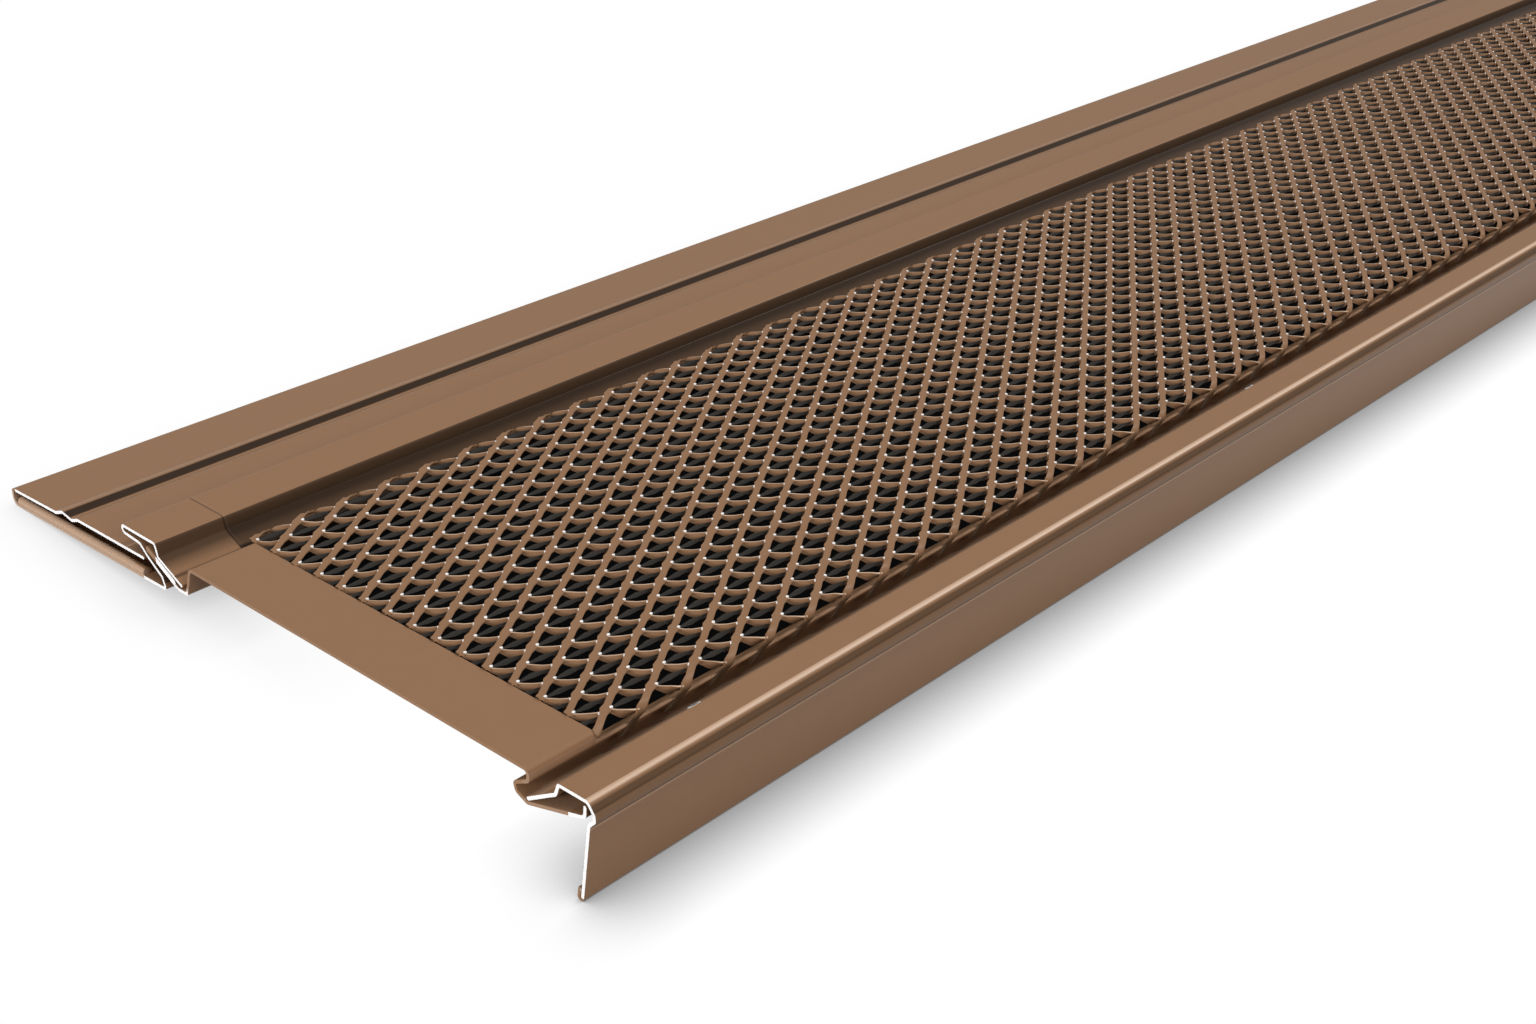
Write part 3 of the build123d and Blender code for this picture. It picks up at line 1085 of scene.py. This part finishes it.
def floor_material():
    """White to the camera, with the guard's own shade, and plain grey to the light."""
    material = bpy.data.materials.new("floor")
    material.use_nodes = True
    tree = material.node_tree
    shader = tree.nodes["Principled BSDF"]
    shader.inputs["Base Color"].default_value = FLOOR_COLOUR
    shader.inputs["Roughness"].default_value = FLOOR_ROUGHNESS
    place = tree.nodes.new("ShaderNodeTexCoord")
    parts = tree.nodes.new("ShaderNodeSeparateXYZ")
    tree.links.new(place.outputs["Object"], parts.inputs[0])
    white = tree.nodes.new("ShaderNodeEmission")
    shade = math_node(tree, "MULTIPLY", contact_shade(tree, parts), uncovered(tree, parts))
    tree.links.new(shade, white.inputs["Strength"])
    mix = tree.nodes.new("ShaderNodeMixShader")
    tree.links.new(seen_by(tree, "Is Camera Ray", "Is Glossy Ray", "Is Transmission Ray"), mix.inputs["Fac"])
    tree.links.new(shader.outputs["BSDF"], mix.inputs[1])
    tree.links.new(white.outputs["Emission"], mix.inputs[2])
    tree.links.new(mix.outputs["Shader"], tree.nodes["Material Output"].inputs["Surface"])
    return material


# %% Lay the floor
FLOOR_SIZE = 6

deselect_objects()
bpy.ops.mesh.primitive_plane_add(size=FLOOR_SIZE)
floor = bpy.context.active_object
floor.name = "floor"
floor.data.materials.append(floor_material())
print("floor laid,", FLOOR_SIZE, "metres wide")

# %% [markdown]
# ## Light
# Four square lamps stand round the guard. The small key lamp draws the shadows, the large one overhead
# fills them, the front one lights the flange, and the last one stands beyond the near end, so that the
# bare cut ends shine. The sky is white to the camera and dim to the light. One strong sky could light it
# all, but it would flatten the mesh.

# %% Place the lamps
LAMPS = (
    ("key", (1.93, -0.8, 2.15), 0.3, 31),
    ("top", (-0.6, 1.2, 2.7), 1.6, 20),
    ("front", (-0.75, -2.55, 1.38), 1.2, 27),
    ("ends", (-2.9, 0.2, 0.75), 0.8, 46),
)


def area_light(name, place, size, power):
    """A square lamp that looks at the middle of the guard."""
    data = bpy.data.lights.new(name, "AREA")
    data.shape = "SQUARE"
    data.size = size
    data.energy = power
    lamp = bpy.data.objects.new(name, data)
    bpy.context.scene.collection.objects.link(lamp)
    lamp.location = place
    lamp.rotation_euler = (-Vector(place)).to_track_quat("-Z", "Y").to_euler()


for lamp in LAMPS:
    area_light(*lamp)
print("placed", len(LAMPS), "lamps")

# %% Light the sky
SKY_STRENGTH = 0.32

world = bpy.data.worlds.new("studio")
bpy.context.scene.world = world
world.use_nodes = True
tree = world.node_tree
sky = tree.nodes["Background"]
sky.inputs["Color"].default_value = (1, 1, 1, 1)
extra = math_node(tree, "MULTIPLY", seen_by(tree, "Is Camera Ray", "Is Transmission Ray"), 1 - SKY_STRENGTH)
tree.links.new(math_node(tree, "ADD", extra, SKY_STRENGTH), sky.inputs["Strength"])
bpy.context.scene.view_settings.view_transform = "Standard"
print("sky strength for the light:", SKY_STRENGTH)
